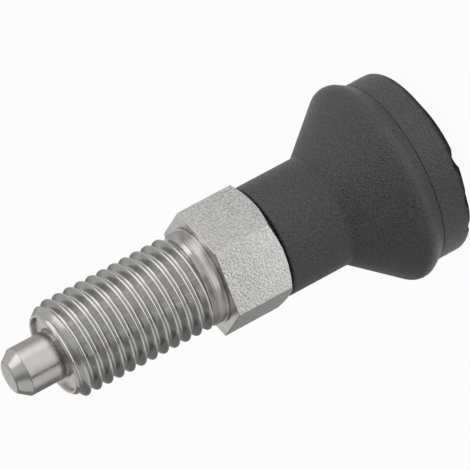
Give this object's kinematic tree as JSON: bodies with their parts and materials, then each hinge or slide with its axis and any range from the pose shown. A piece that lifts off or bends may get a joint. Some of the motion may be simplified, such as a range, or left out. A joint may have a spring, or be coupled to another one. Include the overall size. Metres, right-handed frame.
{
  "type": "indexing plunger",
  "caption": "Screw-in indexing plunger: threaded sleeve with a hexagon, and a sprung locking pin drawn back by a mushroom grip.",
  "frame": {"origin": "centre of the hexagon's front shoulder, on the plunger's axis", "axes": "+Z along the axis towards the pin's tip; +Y through a corner of the hexagon and +X across its flats"},
  "size_m": [0.0248, 0.0248, 0.0571],
  "materials": {
    "sleeve_steel": "turned",
    "pin_steel": "ground and polished",
    "bush_steel": "turned",
    "spring_steel": "drawn wire",
    "fastener_steel": "plain",
    "grip_plastic": "fine grain"
  },
  "bodies": {
    "sleeve_body": {"threaded_sleeve": "sleeve_steel", "front_guide_bush": "bush_steel"},
    "spring_body": {"compression_spring": "spring_steel"},
    "pull_body": {"locking_pin": "pin_steel", "mushroom_grip": "grip_plastic", "grip_washer": "fastener_steel", "grip_nut": "fastener_steel", "grip_cap": "grip_plastic"}
  },
  "joints": [
    {"name": "grip_turn", "type": "hinge", "parent": "sleeve_body", "child": "spring_body", "pos_m": [0, 0, 0], "axis": [0, 0, 1], "continuous": true},
    {"name": "pin_pull", "type": "slide", "parent": "spring_body", "child": "pull_body", "axis": [0, 0, -1], "range_m": [0, 0.006], "stiffness_N_per_m": 1333, "springref_m": -0.0045, "deforming": ["compression_spring"]}
  ]
}
